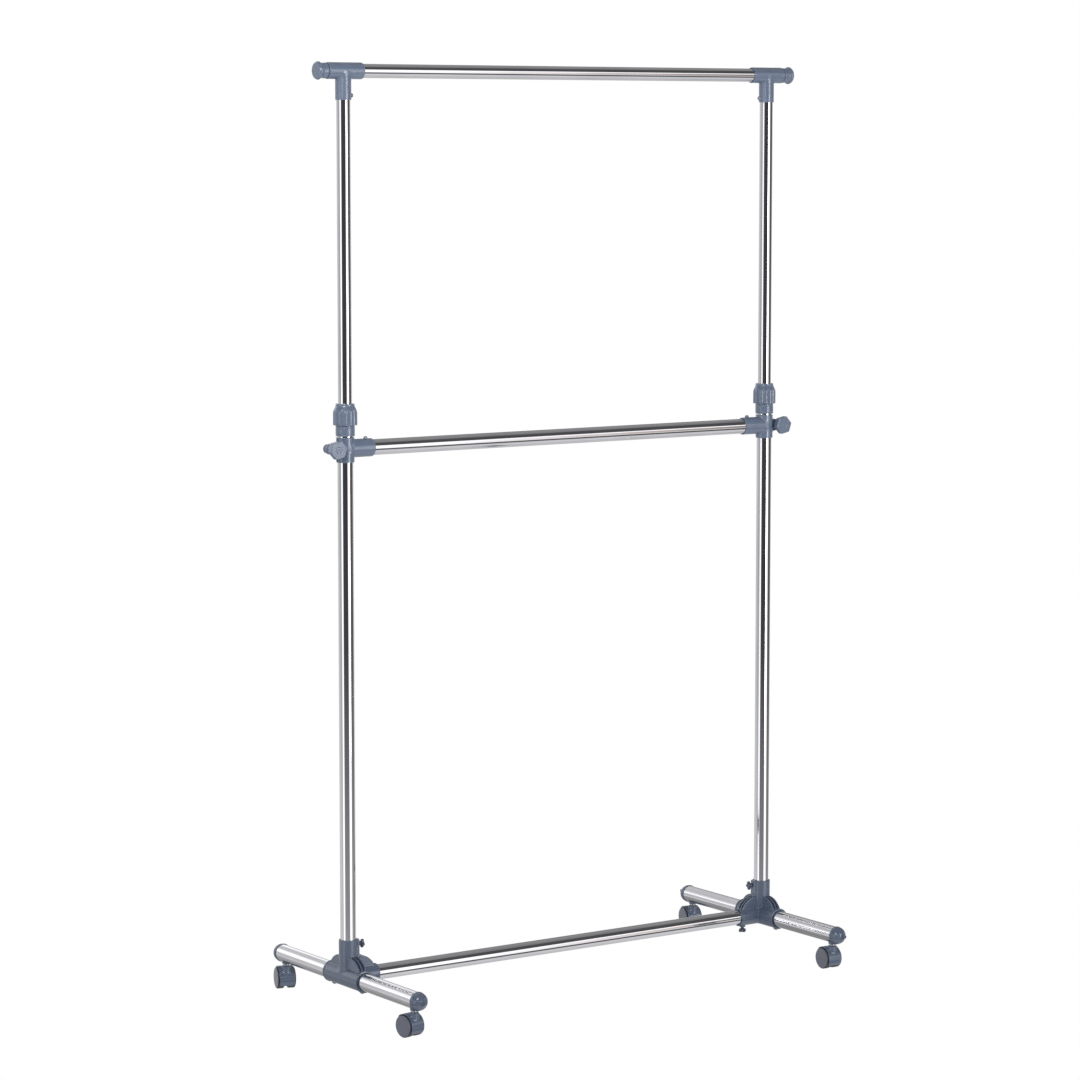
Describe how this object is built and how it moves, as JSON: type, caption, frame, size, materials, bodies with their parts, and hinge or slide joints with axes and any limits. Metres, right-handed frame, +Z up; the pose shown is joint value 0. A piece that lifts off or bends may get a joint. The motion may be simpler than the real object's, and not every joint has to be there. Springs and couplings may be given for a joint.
{
  "type": "garment rail",
  "caption": "Single-rail garment rack on twin-wheel casters with telescopic twist-lock posts, pull-out top bar ends and a clamped lower bar.",
  "frame": {"origin": "on the floor, under the middle of the rack", "axes": "+X along the bars to the right, -Y to the front where the clamp knobs are, +Z up"},
  "size_m": [0.93, 0.4618, 1.5032],
  "materials": {
    "polished_steel": "bright polished tube",
    "satin_steel": "satin polished tube",
    "grey_plastic": "satin moulded slate grey plastic",
    "wheel_plastic": "matt moulded grey plastic",
    "zinc_steel": "zinc plated"
  },
  "bodies": {
    "base": {"bottom_crossbar": "polished_steel", "foot_tube_left": "satin_steel", "base_bracket_left": "grey_plastic", "lower_post_left": "polished_steel", "lock_collar_left": "grey_plastic", "grip_collet_left": "grey_plastic", "foot_tube_right": "satin_steel", "base_bracket_right": "grey_plastic", "lower_post_right": "polished_steel", "lock_collar_right": "grey_plastic", "grip_collet_right": "grey_plastic", "end_cap_left_front": "grey_plastic", "end_cap_left_rear": "grey_plastic", "end_cap_right_front": "grey_plastic", "end_cap_right_rear": "grey_plastic"},
    "upper_frame": {"top_bar": "polished_steel", "upper_post_left": "polished_steel", "top_tee_left": "grey_plastic", "tee_screw_left": "zinc_steel", "upper_post_right": "polished_steel", "top_tee_right": "grey_plastic", "tee_screw_right": "zinc_steel"},
    "mid_rail": {"mid_bar": "polished_steel", "mid_clamp_left": "grey_plastic", "clamp_bolt_left": "grey_plastic", "mid_clamp_right": "grey_plastic", "clamp_bolt_right": "grey_plastic"},
    "extension_left": {"extension_rod_left": "polished_steel", "end_knob_left": "grey_plastic"},
    "twist_nut_left_body": {"twist_nut_left": "grey_plastic"},
    "clamp_knob_left_body": {"clamp_knob_left": "grey_plastic"},
    "post_screw_left_body": {"post_screw_left": "grey_plastic"},
    "crossbar_screw_left_body": {"crossbar_screw_left": "grey_plastic"},
    "extension_right": {"extension_rod_right": "polished_steel", "end_knob_right": "grey_plastic"},
    "twist_nut_right_body": {"twist_nut_right": "grey_plastic"},
    "clamp_knob_right_body": {"clamp_knob_right": "grey_plastic"},
    "post_screw_right_body": {"post_screw_right": "grey_plastic"},
    "crossbar_screw_right_body": {"crossbar_screw_right": "grey_plastic"},
    "caster_left_front": {"caster_stem_left_front": "zinc_steel", "caster_hood_left_front": "grey_plastic", "caster_axle_left_front": "zinc_steel"},
    "wheel_left_left_front_body": {"wheel_left_left_front": "wheel_plastic"},
    "wheel_right_left_front_body": {"wheel_right_left_front": "wheel_plastic"},
    "caster_left_rear": {"caster_stem_left_rear": "zinc_steel", "caster_hood_left_rear": "grey_plastic", "caster_axle_left_rear": "zinc_steel"},
    "wheel_left_left_rear_body": {"wheel_left_left_rear": "wheel_plastic"},
    "wheel_right_left_rear_body": {"wheel_right_left_rear": "wheel_plastic"},
    "caster_right_front": {"caster_stem_right_front": "zinc_steel", "caster_hood_right_front": "grey_plastic", "caster_axle_right_front": "zinc_steel"},
    "wheel_left_right_front_body": {"wheel_left_right_front": "wheel_plastic"},
    "wheel_right_right_front_body": {"wheel_right_right_front": "wheel_plastic"},
    "caster_right_rear": {"caster_stem_right_rear": "zinc_steel", "caster_hood_right_rear": "grey_plastic", "caster_axle_right_rear": "zinc_steel"},
    "wheel_left_right_rear_body": {"wheel_left_right_rear": "wheel_plastic"},
    "wheel_right_right_rear_body": {"wheel_right_right_rear": "wheel_plastic"}
  },
  "joints": [
    {"name": "height_adjust", "type": "slide", "parent": "base", "child": "upper_frame", "axis": [0, 0, 1], "range_m": [-0.46, 0.16]},
    {"name": "mid_rail_height", "type": "slide", "parent": "base", "child": "mid_rail", "axis": [0, 0, 1], "range_m": [-0.74, 0]},
    {"name": "extension_left_slide", "type": "slide", "parent": "upper_frame", "child": "extension_left", "axis": [-1, 0, 0], "range_m": [0, 0.3]},
    {"name": "twist_nut_left_turn", "type": "hinge", "parent": "base", "child": "twist_nut_left_body", "pos_m": [-0.415, 0, 0.955], "axis": [0, 0, 1], "range_deg": [0, 180]},
    {"name": "clamp_knob_left_turn", "type": "hinge", "parent": "mid_rail", "child": "clamp_knob_left_body", "pos_m": [-0.44, -0.019, 0.9017], "axis": [0, -1, 0], "range_deg": [0, 360]},
    {"name": "post_screw_left_turn", "type": "hinge", "parent": "base", "child": "post_screw_left_body", "pos_m": [-0.39527, -0.0033, 0.1105], "axis": [0.9863, -0.165, 0], "range_deg": [0, 360]},
    {"name": "crossbar_screw_left_turn", "type": "hinge", "parent": "base", "child": "crossbar_screw_left_body", "pos_m": [-0.375, 0, 0.035], "axis": [0, 0, -1], "range_deg": [0, 360]},
    {"name": "extension_right_slide", "type": "slide", "parent": "upper_frame", "child": "extension_right", "axis": [1, 0, 0], "range_m": [0, 0.3]},
    {"name": "twist_nut_right_turn", "type": "hinge", "parent": "base", "child": "twist_nut_right_body", "pos_m": [0.415, 0, 0.955], "axis": [0, 0, 1], "range_deg": [0, 180]},
    {"name": "clamp_knob_right_turn", "type": "hinge", "parent": "mid_rail", "child": "clamp_knob_right_body", "pos_m": [0.44, -0.019, 0.9017], "axis": [0, -1, 0], "range_deg": [0, 360]},
    {"name": "post_screw_right_turn", "type": "hinge", "parent": "base", "child": "post_screw_right_body", "pos_m": [0.39527, 0.0033, 0.1105], "axis": [-0.9863, 0.165, 0], "range_deg": [0, 360]},
    {"name": "crossbar_screw_right_turn", "type": "hinge", "parent": "base", "child": "crossbar_screw_right_body", "pos_m": [0.375, 0, 0.035], "axis": [0, 0, -1], "range_deg": [0, 360]},
    {"name": "caster_left_front_swivel", "type": "hinge", "parent": "base", "child": "caster_left_front", "pos_m": [-0.415, -0.195, 0.045], "axis": [0, 0, 1], "continuous": true},
    {"name": "wheel_left_left_front_roll", "type": "hinge", "parent": "caster_left_front", "child": "wheel_left_left_front_body", "pos_m": [-0.41674, -0.18515, 0.0177], "axis": [0.9848, 0.1736, 0], "continuous": true},
    {"name": "wheel_right_left_front_roll", "type": "hinge", "parent": "caster_left_front", "child": "wheel_right_left_front_body", "pos_m": [-0.41674, -0.18515, 0.0177], "axis": [0.9848, 0.1736, 0], "continuous": true},
    {"name": "caster_left_rear_swivel", "type": "hinge", "parent": "base", "child": "caster_left_rear", "pos_m": [-0.415, 0.195, 0.045], "axis": [0, 0, 1], "continuous": true},
    {"name": "wheel_left_left_rear_roll", "type": "hinge", "parent": "caster_left_rear", "child": "wheel_left_left_rear_body", "pos_m": [-0.41208, 0.20456, 0.0177], "axis": [0.9563, -0.2924, 0], "continuous": true},
    {"name": "wheel_right_left_rear_roll", "type": "hinge", "parent": "caster_left_rear", "child": "wheel_right_left_rear_body", "pos_m": [-0.41208, 0.20456, 0.0177], "axis": [0.9563, -0.2924, 0], "continuous": true},
    {"name": "caster_right_front_swivel", "type": "hinge", "parent": "base", "child": "caster_right_front", "pos_m": [0.415, -0.195, 0.045], "axis": [0, 0, 1], "continuous": true},
    {"name": "wheel_left_right_front_roll", "type": "hinge", "parent": "caster_right_front", "child": "wheel_left_right_front_body", "pos_m": [0.41535, -0.18501, 0.0177], "axis": [0.9994, -0.0349, 0], "continuous": true},
    {"name": "wheel_right_right_front_roll", "type": "hinge", "parent": "caster_right_front", "child": "wheel_right_right_front_body", "pos_m": [0.41535, -0.18501, 0.0177], "axis": [0.9994, -0.0349, 0], "continuous": true},
    {"name": "caster_right_rear_swivel", "type": "hinge", "parent": "base", "child": "caster_right_rear", "pos_m": [0.415, 0.195, 0.045], "axis": [0, 0, 1], "continuous": true},
    {"name": "wheel_left_right_rear_roll", "type": "hinge", "parent": "caster_right_rear", "child": "wheel_left_right_rear_body", "pos_m": [0.41691, 0.20482, 0.0177], "axis": [0.9816, -0.1908, 0], "continuous": true},
    {"name": "wheel_right_right_rear_roll", "type": "hinge", "parent": "caster_right_rear", "child": "wheel_right_right_rear_body", "pos_m": [0.41691, 0.20482, 0.0177], "axis": [0.9816, -0.1908, 0], "continuous": true}
  ]
}
